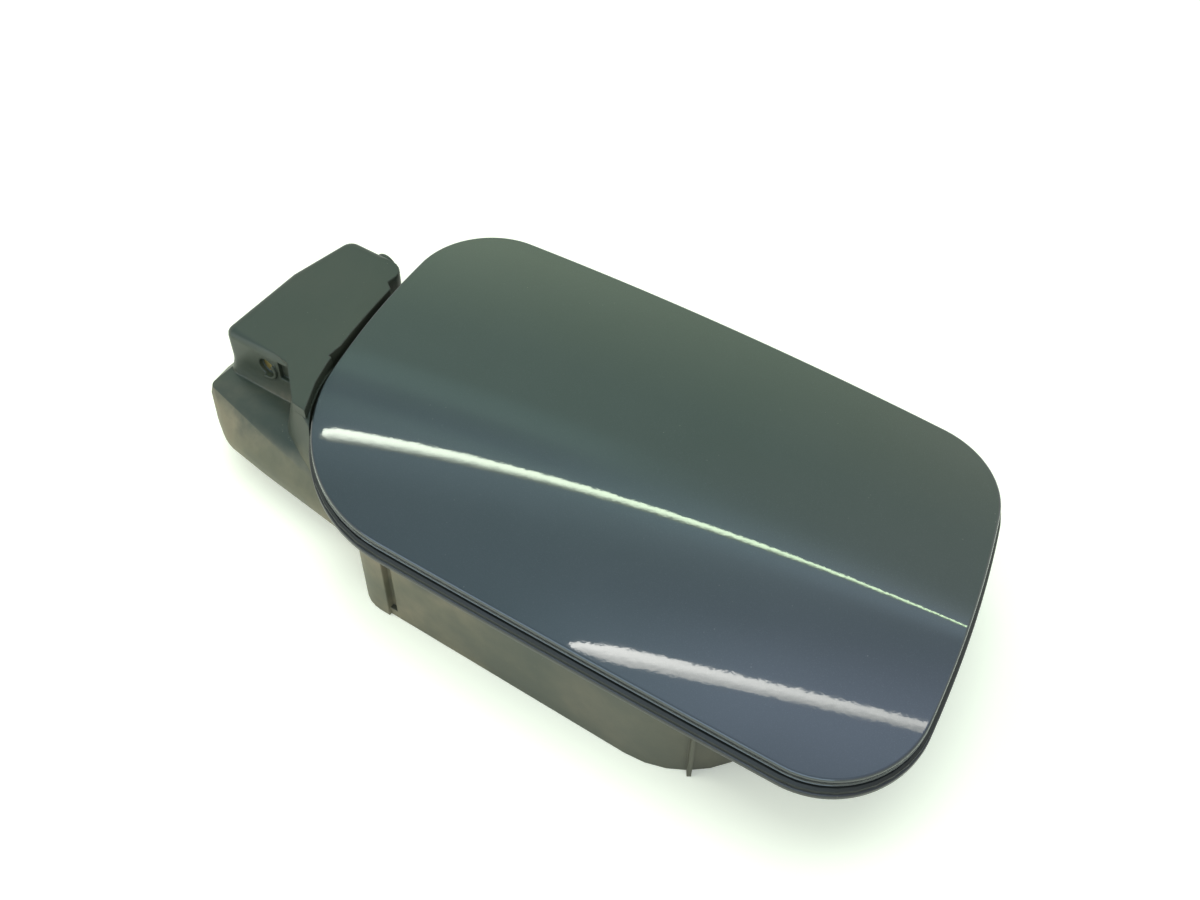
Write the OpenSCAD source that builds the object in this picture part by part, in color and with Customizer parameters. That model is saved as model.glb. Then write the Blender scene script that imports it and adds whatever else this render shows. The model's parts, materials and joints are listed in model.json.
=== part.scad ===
/* [Door] */
// Length of the door along X, hinge edge to free edge
door_len = 197.6; // [190:0.2:205]
// Width of the door along Y
door_wid = 115.6; // [111:0.2:121]
// Distance of the hinge edge of the door left of the filler neck
door_left = 107; // [106:0.2:108]
// Distance of the front edge of the door in front of the filler neck
door_front = 56; // [55:0.2:58]
// Corner radius, front corner on the hinge side
corner_front_hinge_r = 50; // [44:1:54]
// Corner radius, front corner on the free side
corner_front_free_r = 26; // [22:1:32]
// Corner radius, back corner on the free side
corner_back_free_r = 26; // [22:1:32]
// Corner radius, back corner on the hinge side
corner_back_hinge_r = 24; // [20:1:30]
// How far the hinge edge leans inwards towards the front
hinge_edge_lean = 6; // [3:0.5:9]
// How far the free edge leans inwards towards the back
free_edge_lean = 9; // [4:0.5:14]
// How far the front edge rises towards the free side
front_edge_rise = 3; // [0:0.5:5]
// Bow radius of the long edges
long_bow_r = 2300; // [1500:50:5000]
// Bow radius of the short edges
short_bow_r = 380; // [320:10:800]
// Height of the crown of the door above the resting plane
door_top = 48.6; // [48:0.1:50]
// Crown radius along the door's length
crown_len_r = 2200; // [1800:50:4000]
// Crown radius across the door's width
crown_wid_r = 1100; // [900:50:2000]
// Slope of the lower part of the door below the crease
crease_slope = 0.14; // [0.08:0.01:0.18]
// Position of the crease in front of the filler neck
crease_y = -14; // [-20:0.5:-8]
// Lean of the crease along the door
crease_lean = 0.154; // [0.1:0.002:0.2]
// Softness of the crease at the free edge
crease_sharp_w = 6; // [3:1:14]
// Softness of the crease at the hinge edge
crease_soft_w = 50; // [30:1:60]
// Thickness of the outer sheet
skin_t = 0.8; // [0.7:0.05:0.9]
// Outer radius of the rolled edge
roll_r = 1.1; // [0.9:0.05:1.3]
// Height of the turned edge
return_h = 2.7; // [2.5:0.05:3]
// Width of the hem folded under the inner panel
hem_w = 6; // [5:0.5:7]
// Thickness of the inner panel
inner_t = 0.8; // [0.6:0.05:0.9]
// Depth of the pressed dish of the inner panel below the outer skin
dish_depth = 5; // [4.6:0.1:5.4]
// Depth of the raised centre field of the inner panel
field_step = 2; // [1:0.1:2.6]
/* [Hinge] */
// Distance of the hinge pin left of the filler neck
hinge_left = 120; // [119.4:0.1:121]
// Height of the hinge pin above the resting plane
hinge_height = 38; // [37.4:0.1:38.4]
// Radius of the hinge pin
pin_r = 2.5; // [2.2:0.05:2.6]
// Wall of the pivot bushes
bush_wall = 0.8; // [0.7:0.05:0.9]
// Outer radius of the arm's hub
hub_r = 4.9; // [4.6:0.05:5]
// Inner radius of the gooseneck
neck_r = 18.6; // [18.4:0.1:19]
// Thickness of the gooseneck's band
band_t = 3; // [2.5:0.1:3.4]
// Height of the gooseneck's outer ribs
arm_rib_h = 3.4; // [2.5:0.1:3.6]
// Thickness of the gooseneck's ribs
arm_rib_t = 2; // [1.6:0.1:2.6]
// Width of the gooseneck
arm_w = 32; // [28:0.5:34]
// Middle of the gooseneck behind the filler neck
arm_mid_y = 3.2; // [2.5:0.1:4]
// Length of the arm's pad under the door
pad_len = 34; // [32:0.5:38]
// Thickness of the arm's pad
pad_t = 3.5; // [3:0.1:4]
// Thickness of the cam spring's strip
strip_t = 0.8; // [0.6:0.05:0.9]
// Width of the cam spring's strip
strip_w = 9; // [7:0.5:11]
/* [Housing] */
// General wall thickness of the housing
wall = 2; // [1.8:0.1:2.2]
// Distance of the pot's front wall inside the door's front edge
pot_front_inset = 4; // [3.6:0.2:6]
// Distance of the pot's back wall inside the door's back edge
pot_back_inset = 10.6; // [9.6:0.2:13]
// Distance of the pot's free-side wall inside the door's free edge
pot_right_inset = 36.6; // [34.6:0.2:38]
// Distance of the pot's hinge-side wall inside the door's hinge edge
pot_left_inset = 39; // [38:0.5:40]
// Corner radius of the pot on the free side
pot_free_r = 30; // [26:1:34]
// Corner radius of the pot on the hinge side
pot_hinge_r = 10; // [8:0.5:13]
// Height of the underside of the tray above the resting plane
tray_z = 24; // [23:0.5:25]
// Width of the rim flange inside the door's edge
rim_w = 6.5; // [6:0.1:7]
// How far the rim stands outside the door's edge
rim_over = 1; // [0.8:0.1:1.4]
// Thickness of the rim flange
rim_t = 1.5; // [1.3:0.1:1.8]
// Depth of the rim's upper face below the door's surface
rim_drop = 5.4; // [5.2:0.1:5.6]
// Draft of the tray wall, inwards over its height
tray_draft = 2; // [1.5:0.1:2.4]
// Height of the hinge box's roof above the resting plane
roof_z = 45; // [44.8:0.1:45.2]
// Thickness of the roof
roof_t = 1.6; // [1.4:0.1:1.7]
// Distance of the hinge box's front face in front of the filler neck
box_front = 23; // [22.5:0.1:23.5]
// Distance of the hinge box's back face behind the filler neck
box_back = 29.5; // [29:0.1:30]
// Height of the ledge below the hinge box's front face
ledge_z = 29; // [28:0.2:30]
// How far the ledge steps out in front of the hinge box
ledge_w = 8.8; // [8:0.1:9.4]
// Rounding radius of the pocket's bulge
bulge_r = 12; // [11:0.2:12.4]
// Height of the pocket's underside above the resting plane
bulge_z = 4; // [3.6:0.1:4.6]
// Width of the groove in the pot's front wall
groove_w = 2.6; // [2:0.1:3]
// Depth of the groove in the pot's front wall
groove_d = 1.4; // [1:0.1:1.6]
// Thickness of the thin rib on the pot's free corner
rib_t = 1.2; // [1:0.1:1.6]
// How far the thin rib stands out
rib_h = 1.8; // [1.2:0.1:2.4]
// Distance between the two body screws
screw_pitch = 48; // [44:0.5:52]
// Radius of the holes for the body screws
screw_hole_r = 2.75; // [2.6:0.05:3]
// Outer radius of the drain spigot
spigot_r = 4.5; // [4.2:0.1:5]
// Length of the drain spigot
spigot_len = 10; // [8:0.5:11]
/* [Filler neck and lock] */
// Radius of the filler neck that the collar grips
filler_r = 30; // [28:0.5:31]
// Wall of the collar round the filler neck
collar_wall = 4.4; // [4:0.1:5]
// Height of the collar
collar_h = 12; // [11:0.5:14]
// Radius of the lock pin's hole in the guide
lock_r = 3.5; // [3:0.1:3.6]
// Height of the lock pin above the resting plane
lock_z = 32.6; // [32.4:0.1:33]
// Distance of the lock pin behind the middle of the door
lock_offset = 8.2; // [6:0.2:10]
// Length of the lock pin's guide
guide_len = 12; // [11:0.5:14]
// Height of the rim seal
seal_h = 2; // [1.8:0.1:2.1]
// Radius of the rubber stops
stop_r = 3.6; // [3:0.1:4]
/* [Hidden] */

// Clearances
sheet_gap = 0.1;
running_gap = 0.05;
seat_gap = 0.02;
rest_gap = 0.3;
side_gap = 0.3;
joint_overlap = 0.5;

// Steps of the swept outlines
corner_steps = 9;
side_steps = 7;
round_fn = 48;
blend_fn = 32;

// Colours
paint = [0.17, 0.21, 0.26];
black_plastic = [0.16, 0.17, 0.16];
dusty_plastic = [0.24, 0.25, 0.22];
rubber = [0.08, 0.085, 0.085];
zinc = [0.72, 0.62, 0.30];
steel = [0.66, 0.66, 0.64];
natural = [0.82, 0.80, 0.72];

// Outlines: a chain of corner circles [x, y, r] in anticlockwise order joined by bowed sides
function turn(a, b) = a + ((b - a) % 360 + 360) % 360;
function heading(p, q) = atan2(q[1] - p[1], q[0] - p[0]);
function bow_centre(a, b, r) =
    let (d = norm([b[0] - a[0], b[1] - a[1]]),
         u = [b[0] - a[0], b[1] - a[1]] / d,
         ra = r - a[2],
         rb = r - b[2],
         s = (ra * ra - rb * rb + d * d) / (2 * d),
         h = sqrt(ra * ra - s * s))
    [a[0] + u[0] * s - u[1] * h, a[1] + u[1] * s + u[0] * h];
function arc(c, r, a0, a1, steps) =
    [for (i = [0:steps - 1]) let (a = a0 + (a1 - a0) * i / steps)
        [c[0] + r * cos(a), c[1] + r * sin(a), cos(a), sin(a)]];
function chain(corners, bows, csteps, ssteps) =
    let (n = len(corners),
         mid = [for (i = [0:n - 1]) bow_centre(corners[i], corners[(i + 1) % n], bows[i])])
    [for (i = [0:n - 1])
        let (c = corners[i],
             next = corners[(i + 1) % n],
             before = mid[(i + n - 1) % n],
             a0 = heading(before, c),
             a1 = turn(a0, heading(mid[i], c)),
             a2 = turn(a1, heading(mid[i], next)))
        each concat(arc(c, c[2], a0, a1, csteps), arc(mid[i], bows[i], a1, a2, ssteps))];
function moved_in(e, d) = [e[0] - e[2] * d, e[1] - e[3] * d];
function flat_outline(edge, d) = [for (e = edge) moved_in(e, d)];

// Door edge, from the front corner on the hinge side round to the back
door_right = door_len - door_left;
door_back = door_wid - door_front;
door_corners = [
    [-door_left + hinge_edge_lean + corner_front_hinge_r, -door_front + corner_front_hinge_r,
     corner_front_hinge_r],
    [door_right - corner_front_free_r, -door_front + front_edge_rise + corner_front_free_r,
     corner_front_free_r],
    [door_right - free_edge_lean - corner_back_free_r, door_back - 0.8 - corner_back_free_r,
     corner_back_free_r],
    [-door_left + corner_back_hinge_r, door_back - corner_back_hinge_r, corner_back_hinge_r]];
door_edge = chain(door_corners, [long_bow_r, short_bow_r, long_bow_r, short_bow_r],
                  corner_steps, side_steps);
edge_n = len(door_edge);
door_mid = [(door_right - door_left) / 2, (door_back - door_front) / 2];

// Height of the door's outer surface: a crowned sheet with a crease that fades to the hinge side
function crease_w(x) = crease_sharp_w
    + (crease_soft_w - crease_sharp_w) * max(0, door_right - x) / door_len;
function skin_height(x, y) =
    let (d = crease_y + crease_lean * x - y,
         w = crease_w(x))
    door_top - crease_slope * (sqrt(d * d + w * w) + d) / 2
        - y * y / 2 / crown_wid_r - x * x / 2 / crown_len_r;
function on_surface(p, drop) = [p[0], p[1], skin_height(p[0], p[1]) - drop];
function edge_ring(d, drop) = [for (e = door_edge) on_surface(moved_in(e, d), drop)];
function level_ring(d, z) = [for (e = door_edge) let (p = moved_in(e, d)) [p[0], p[1], z]];
function inner_ring(d, t, drop) = [for (e = door_edge)
    let (p = moved_in(e, d)) on_surface(door_mid + (p - door_mid) * t, drop)];

// Solids swept round an outline; rings run outwards on top and back inwards below
function band_faces(a, b, n) = [for (j = [0:n - 1]) let (k = (j + 1) % n)
    each [[a + j, a + k, b + k], [a + j, b + k, b + j]]];
module ring_solid(rings) {
    n = len(rings[0]);
    m = len(rings);
    polyhedron(
        points = [for (r = rings) each r],
        faces = [for (i = [0:m - 1]) each band_faces(i * n, ((i + 1) % m) * n, n)],
        convexity = 6);
}
module sheet_solid(top, rings, bottom) {
    n = len(rings[0]);
    m = len(rings);
    polyhedron(
        points = concat([top], [for (r = rings) each r], [bottom]),
        faces = concat(
            [for (j = [0:n - 1]) [0, 1 + (j + 1) % n, 1 + j]],
            [for (i = [0:m - 2]) each band_faces(1 + i * n, 1 + (i + 1) * n, n)],
            [for (j = [0:n - 1]) [1 + n * m, 1 + (m - 1) * n + j, 1 + (m - 1) * n + (j + 1) % n]]),
        convexity = 6);
}
// Extrudes a profile drawn in X and Z between two places along Y
module along_y(y0, y1) {
    translate([0, y1, 0]) rotate([90, 0, 0]) linear_extrude(y1 - y0) children();
}
module block(lo, hi) {
    translate(lo) cube(hi - lo);
}
module sector(r, a0, a1) {
    steps = 6;
    polygon(concat([[0, 0]],
        [for (i = [0:steps]) let (a = a0 + (a1 - a0) * i / steps) [r * cos(a), r * sin(a)]]));
}

// Hinge
axis_x = -hinge_left;
bush_r = pin_r + running_gap + bush_wall;
bush_flange_r = bush_r + 1;
bush_flange_t = 1.2;
bearing_len = 2;
pin_recess = 1.4;
box_in_front = -box_front + wall;
box_in_back = box_back - wall;
bearing_front = -box_front + pin_recess + bearing_len;
bearing_back = box_in_back - pin_recess;
bearing_r = 5.2;
recess_r = pin_r + 0.6;
lip_h = 0.8;
lip_t = 0.9;
lip_from = -110;
lip_to = 40;
hub_front = bearing_front + side_gap + bush_flange_t;
hub_back = bearing_back - side_gap - bush_flange_t;
band_r = neck_r + band_t;
arm_r = band_r + arm_rib_h;
pad_z = hinge_height;
pad_x0 = axis_x + neck_r;
pad_x1 = pad_x0 + pad_len;
web_angle = -122;
band_start = -132;
band_end = -5;
web_t = 4;
arm_front = arm_mid_y - arm_w / 2;
arm_back = arm_mid_y + arm_w / 2;
arm_screw_insets = [11, 7];
arm_screw_places = [for (x = [pad_x0 + arm_screw_insets[0], pad_x1 - arm_screw_insets[1]], s = [-1, 1])
    [x, arm_mid_y + s * arm_w / 4]];
pad_seat_insets = [7, 1];
pad_seat_side = 2;
screw_r = 1.5;
screw_head_r = 3.6;
screw_head_h = 1.8;
screw_head_edge = 0.8;
arm_screw_bite = 4;
striker_screw_bite = 3;
boss_r = 4.4;
boss_top_drop = skin_t + 1;

module door_skin() {
    fields = [0.12, 0.26, 0.4, 0.54, 0.68, 0.8, 0.91];
    rim = 4;
    hem_r = hem_w > 0 ? skin_t / 2 : 0;
    hem_top = return_h - skin_t;
    inner_d = skin_t + sheet_gap;
    rolled = [for (a = [0:22.5:90]) [roll_r - roll_r * sin(a), roll_r - roll_r * cos(a)]];
    folded = [for (a = [0:45:90]) [hem_r - hem_r * cos(a), return_h - hem_r + hem_r * sin(a)]];
    turned = concat([[rim, 0]], rolled, folded,
                    [[hem_w, return_h], [hem_w, hem_top], [inner_d, hem_top], [inner_d, skin_t]]);
    color(paint) sheet_solid(
        on_surface(door_mid, 0),
        concat([for (t = fields) inner_ring(rim, t, 0)],
               [for (p = turned) edge_ring(p[0], p[1])],
               [edge_ring(rim, skin_t)],
               [for (i = [len(fields) - 1:-1:0]) inner_ring(rim, fields[i], skin_t)]),
        on_surface(door_mid, skin_t));
}

// Inner panel
flange_drop = skin_t + sheet_gap;
panel_edge_d = skin_t + sheet_gap + 0.3;
dish_start = hem_w + 2;
dish_end = dish_start + dish_depth;
panel_drop = dish_depth + inner_t;
field_t = 0.52;
module screw_boss(x, y, base) {
    translate([x, y, base])
        cylinder(r = boss_r, h = skin_height(x, y) - boss_top_drop - base, $fn = round_fn);
}
// Moulded pad that reaches from a flat seat up into the dished panel
module under_pad(lo, hi, base) {
    mid = (lo + hi) / 2;
    top = skin_height(mid[0], mid[1]) - dish_depth + joint_overlap;
    block([lo[0], lo[1], base], [hi[0], hi[1], top]);
}
module door_inner_panel() {
    fields = [0.2, field_t - 0.04, field_t + 0.02, 0.72, 0.88];
    drops = [dish_depth - field_step, dish_depth - field_step, dish_depth, dish_depth, dish_depth];
    color(black_plastic) difference() {
        union() {
            sheet_solid(
                on_surface(door_mid, dish_depth - field_step),
                concat([for (i = [0:len(fields) - 1]) inner_ring(dish_end, fields[i], drops[i])],
                       [edge_ring(dish_end, dish_depth), edge_ring(dish_start, flange_drop),
                        edge_ring(panel_edge_d, flange_drop),
                        edge_ring(panel_edge_d, flange_drop + inner_t),
                        edge_ring(dish_start - inner_t / 2, flange_drop + inner_t),
                        edge_ring(dish_end - inner_t / 2, panel_drop)],
                       [for (i = [len(fields) - 1:-1:0]) inner_ring(dish_end, fields[i], drops[i] + inner_t)]),
                on_surface(door_mid, dish_depth - field_step + inner_t));
            for (p = arm_screw_places) screw_boss(p[0], p[1], pad_z);
            under_pad([pad_x0 + pad_seat_insets[0], arm_front + pad_seat_side],
                      [pad_x1 - pad_seat_insets[1], arm_back - pad_seat_side], pad_z);
            for (y = striker_screw_ys) screw_boss(striker_x, y, striker_top);
            under_pad([striker_x - striker_half_w - seat_edge, lock_y - striker_half_len - seat_edge],
                      [striker_x + striker_half_w + seat_edge, lock_y + striker_half_len + seat_edge],
                      striker_top);
            under_pad([holder_x - holder_w / 2 - seat_edge, holder_y - holder_half_d - seat_edge],
                      [holder_x + holder_w / 2 + seat_edge, holder_y + holder_half_d + seat_edge], holder_top);
        }
        for (p = arm_screw_places) translate([p[0], p[1], pad_z - 1])
            cylinder(r = screw_r + seat_gap, h = arm_screw_bite + 2, $fn = round_fn);
        for (y = striker_screw_ys) translate([striker_x, y, striker_top - 1])
            cylinder(r = screw_r + seat_gap, h = striker_screw_bite + 2, $fn = round_fn);
    }
}

// Gooseneck arm: hub, web, band, ribs and the pad that the door is screwed to
module gooseneck(outer_r, inner_r) {
    difference() {
        intersection() {
            circle(r = outer_r, $fn = 2 * round_fn);
            sector(2 * arm_r, band_start, band_end);
        }
        circle(r = inner_r, $fn = 2 * round_fn);
    }
}
module pad_rib() {
    polygon([[neck_r, -pad_t + joint_overlap], [neck_r + pad_len - 4, -pad_t + joint_overlap],
             [neck_r + pad_len - 8, -pad_t - 1], [arm_r + 3, -pad_t - arm_rib_h - 1],
             [arm_r * cos(16), -arm_r * sin(16)], [neck_r, -arm_r * sin(12)]]);
}
module hinge_arm() {
    rib_ys = [arm_front, arm_mid_y - arm_rib_t / 2, arm_back - arm_rib_t];
    color(black_plastic) translate([axis_x, 0, hinge_height]) difference() {
        union() {
            along_y(hub_front, hub_back) circle(r = hub_r, $fn = 2 * round_fn);
            along_y(arm_front, arm_back) union() {
                gooseneck(band_r, neck_r);
                rotate(web_angle) translate([hub_r - 1, -web_t / 2]) square([neck_r - hub_r + 2, web_t]);
                translate([neck_r, -pad_t]) square([pad_len, pad_t]);
            }
            for (y = rib_ys) along_y(y, y + arm_rib_t) union() {
                gooseneck(arm_r, neck_r);
                pad_rib();
            }
        }
        along_y(hub_front - 1, hub_back + 1) circle(r = bush_r + seat_gap, $fn = round_fn);
        for (p = arm_screw_places) translate([p[0] - axis_x, p[1], -pad_t - 1])
            cylinder(r = screw_r + 0.4, h = pad_t + 2, $fn = round_fn);
    }
}
module pan_screw(x, y, z, length) {
    translate([x, y, z - screw_head_h]) union() {
        cylinder(r1 = screw_head_r - screw_head_edge, r2 = screw_head_r, h = screw_head_h / 2,
                 $fn = round_fn);
        translate([0, 0, screw_head_h / 2]) cylinder(r = screw_head_r, h = screw_head_h / 2, $fn = round_fn);
        translate([0, 0, screw_head_h]) cylinder(r = screw_r, h = length, $fn = round_fn);
    }
}
module arm_screws() {
    color(steel) for (p = arm_screw_places) pan_screw(p[0], p[1], pad_z - pad_t, pad_t + arm_screw_bite);
}
module pivot_bush(y, side) {
    long = 8;
    translate([axis_x, y, hinge_height]) rotate([90, 0, 0]) mirror([0, 0, side > 0 ? 1 : 0]) difference() {
        union() {
            translate([0, 0, -long]) cylinder(r = bush_r, h = long + bush_flange_t, $fn = round_fn);
            cylinder(r = bush_flange_r, h = bush_flange_t, $fn = round_fn);
        }
        translate([0, 0, -long - 1])
            cylinder(r = pin_r + running_gap, h = long + bush_flange_t + 2, $fn = round_fn);
    }
}
module pivot_bushes() {
    color(natural) {
        pivot_bush(hub_front, 0);
        pivot_bush(hub_back, 1);
    }
}
stub_r = 4;
stub_len = 2.5;
pin_back = box_back + stub_len - 0.8;
module hinge_pin() {
    color(zinc) translate([axis_x, 0, hinge_height])
        along_y(-box_front + pin_recess, pin_back) circle(r = pin_r, $fn = round_fn);
}
// Bent strip spring: one leg stands on the housing's end wall, the other rides on the hub
box_left = 16;
module cam_spring() {
    wall_x = -box_left + wall + rest_gap;
    leg_x = -hub_r - rest_gap - strip_t;
    bend_r = (leg_x - wall_x - strip_t) / 2;
    bend_z = roof_z - roof_t - hinge_height - bend_r - strip_t - rest_gap;
    color(zinc) translate([axis_x, 0, hinge_height])
        along_y(arm_mid_y - strip_w / 2, arm_mid_y + strip_w / 2) union() {
            translate([wall_x, bend_z - 6]) square([strip_t, 6]);
            translate([leg_x, bend_z - 3.2]) square([strip_t, 3.2]);
            translate([wall_x + strip_t + bend_r, bend_z]) intersection() {
                difference() {
                    circle(r = bend_r + strip_t, $fn = round_fn);
                    circle(r = bend_r, $fn = round_fn);
                }
                translate([-box_left, 0]) square(2 * box_left);
            }
        }
}

// Housing
rim_bottom = rim_drop + rim_t;
straight = 9000;
roof_edge_r = 2.4;
box_sunk = 8;
shoulder_t = 3.4;
shoulder_x = 20.6;
skirt_z = 36.2;
skirt_foot_h = 2.2;
ridge_turn = -22;
ridge_fall = 11;
ledge_edge_r = 1.2;
pocket_bed = [[-12.6, 2.6], [-8.2, -1.2], [-3.6, -4], [10.6, -6], [23.8, -7.4], [43.6, -9.6]];
cheek_r = 8;
cheek_spread = 4;
slot_x0 = neck_r - 1.6;
slot_x1 = arm_r + 3;
slot_side = 1.2;
sweep_r = arm_r + 2;
wing_proud = 0.8;
wing_over = 8;
pot_front = door_front - pot_front_inset;
pot_back = door_back - pot_back_inset;
pot_right = door_right - pot_right_inset;
pot_left = door_left - pot_left_inset;
groove_x = 13.3 - pot_left;
rib_angle = -56;
lug_w = 12;
lug_h = 3;
lug_xs = [30 - pot_left, pot_right - 26 - lug_w];
notch_x = 5;
notch_w = 3.6;
spigot_x = pot_hinge_r + spigot_r + 3.5 - pot_left;
spigot_z = 8;
lock_y = door_mid[1] + lock_offset;
lock_boss_inset = 11;
lock_boss_x = door_right - free_edge_lean * (lock_y + door_front) / door_wid - lock_boss_inset;
lock_boss_t = 8.5;
lock_boss_side = 9;
lock_boss_top = 40;
guide_r = lock_r + 1;
guide_flange_w = 1.4;
guide_seal_w = 1;
guide_seal_t = 2;
stop_places = [[door_right - 19.6, 23 - door_front], [door_right - 28.1, door_back - 18.6]];
stop_seat_z = 30;
body_screw_x = door_right - 28.6;
body_screw_ys = [lock_y - screw_pitch / 2, lock_y + screw_pitch / 2];
collar_r = filler_r + collar_wall;
seat_z = 4;
seat_ring_r = collar_r + 9;
seal_w = 4;
striker_x = door_right - 24.6;
striker_t = 1.5;
striker_top = 38.2;
striker_half_w = 5;
striker_half_len = 14;
striker_ring_r = lock_r + 2.6;
striker_screw_pitch = 20;
striker_screw_ys = [lock_y - striker_screw_pitch / 2, lock_y + striker_screw_pitch / 2];
seat_edge = 1;
holder_x = 10;
holder_y = door_back - 29.6;
holder_w = 26;
holder_half_d = 4;
holder_t = 2;
holder_reach = 9;
holder_top = 38.5;
rim_in = rim_w;
tray_wall_d = rim_in + wall;
tray_floor_z = tray_z + wall;
pot_corners = [
    [-pot_left + pot_hinge_r, -pot_front + pot_hinge_r, pot_hinge_r],
    [pot_right - pot_free_r, -pot_front + pot_free_r, pot_free_r],
    [pot_right - pot_free_r, pot_back - pot_free_r, pot_free_r],
    [-pot_left + pot_hinge_r, pot_back - pot_hinge_r, pot_hinge_r]];
pot_edge = chain(pot_corners, [straight, straight, straight, straight], 8, 1);
box_right = 10.4;
box_nose = 9;
box_corners = [
    [axis_x - box_left + 3, -box_front + 3, 3],
    [axis_x + box_nose - 1, -box_front + 1, 1],
    [axis_x + box_right - 5, box_back - 5, 5],
    [axis_x - box_left + 7.5, box_back - 4, 4],
    [axis_x - box_left + 2.5, 7, 2.5]];
box_edge = chain(box_corners, [straight, straight, straight, straight, straight], 5, 1);
function box_ring(d, z) = [for (e = box_edge) let (p = moved_in(e, d)) [p[0], p[1], z]];
// Inside of the hinge box and the pocket beside it, in plan
pocket_corners = [
    [axis_x - box_left + 3, box_in_front + 1, 1],
    [4 - pot_left, box_in_front + 1, 1],
    [4 - pot_left, box_in_back - 1, 1],
    [axis_x - box_left + 7.5, box_back - 4, 2],
    [axis_x - box_left + 2.5, 7, 0.5]];
pocket_edge = chain(pocket_corners, [straight, straight, straight, straight, straight], 3, 1);

// Door edge beside the hinge box, from the back to the front
shoulder_front = 33.5;
function beside_box(e) = e[0] < -70 && e[1] > -shoulder_front && e[1] < box_back - 4;
hinge_path = concat(
    [for (i = [0:edge_n - 1]) if (i > edge_n / 2 && beside_box(door_edge[i])) door_edge[i]],
    [for (i = [0:edge_n - 1]) if (i < edge_n / 2 && beside_box(door_edge[i])) door_edge[i]]);
path_n = len(hinge_path);
roof_gap_back = 1.9;
roof_gap_front = 1.3;
function roof_gap(i) = roof_gap_back + (roof_gap_front - roof_gap_back) * i / (path_n - 1);
function beside_path(i, d) = moved_in(hinge_path[i], -roof_gap(i) - d);
skirt_t = 1.8;

module rim_and_tray() {
    ring_solid([
        edge_ring(rim_in, rim_drop), edge_ring(-rim_over, rim_drop), edge_ring(-rim_over, rim_bottom),
        edge_ring(rim_in - 1.6, rim_bottom), edge_ring(rim_in - 0.8, rim_bottom + 1),
        level_ring(rim_in + tray_draft, tray_z + 1), level_ring(tray_wall_d + tray_draft, tray_z),
        level_ring(tray_wall_d + tray_draft, tray_floor_z), edge_ring(rim_in + 0.8, rim_drop + 0.8)]);
    translate([0, 0, tray_z]) linear_extrude(wall)
        polygon(flat_outline(door_edge, rim_in + tray_draft + 1));
}
// Room over the rim and in the tray that the pocket's walls must not fill
module door_room() {
    sheet_solid(
        [door_mid[0], door_mid[1], door_top + 10],
        [level_ring(-rim_over, door_top + 10), edge_ring(-rim_over, rim_drop + 0.3),
         edge_ring(rim_in + 0.2, rim_drop + 0.3), level_ring(tray_wall_d + tray_draft - 1, tray_floor_z - 1)],
        [door_mid[0], door_mid[1], tray_floor_z - 1]);
}
module pot_outside() {
    linear_extrude(tray_z + wall) polygon(flat_outline(pot_edge, 0));
    intersection() {
        translate([0, 0, tray_z]) linear_extrude(door_top) polygon(flat_outline(pot_edge, 0));
        ring_solid([level_ring(rim_in, 0), edge_ring(rim_in, rim_bottom - joint_overlap),
                    edge_ring(0, rim_bottom - joint_overlap), level_ring(0, 0)]);
    }
    // Wing left of the groove, a little proud of the front wall
    intersection() {
        linear_extrude(tray_z + wing_over)
            polygon(flat_outline(pot_edge, -wing_proud));
        union() {
            block([-pot_left - 2, -pot_front - 2, 0], [groove_x, -pot_front + pot_hinge_r + 6, tray_z + 1]);
            block([-pot_left - 2, -pot_front - 2, 0], [groove_x, -pot_front + wall, tray_z + wing_over]);
        }
    }
    // Thin rib on the free corner
    translate([pot_right - pot_free_r, -pot_front + pot_free_r, 0]) rotate(rib_angle)
        translate([pot_free_r - 1, -rib_t / 2, 0]) cube([rib_h + 1, rib_t, tray_z + wall]);
    // Lugs that snap behind the body panel
    for (x = lug_xs) translate([x, 0, 0]) rotate([90, 0, 90]) linear_extrude(lug_w) polygon([
        [pot_back - 1, tray_z - 10], [pot_back, tray_z - 10], [pot_back + lug_h, tray_z - 2],
        [pot_back + lug_h, tray_z], [pot_back - 1, tray_z]]);
}
module hinge_box_outside() {
    foot_z = ledge_z - box_sunk;
    hull() for (a = [0:22.5:90])
        translate([0, 0, foot_z]) linear_extrude(roof_z - foot_z - roof_edge_r * (1 - sin(a)))
            polygon(flat_outline(box_edge, roof_edge_r * (1 - cos(a))));
}
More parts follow.
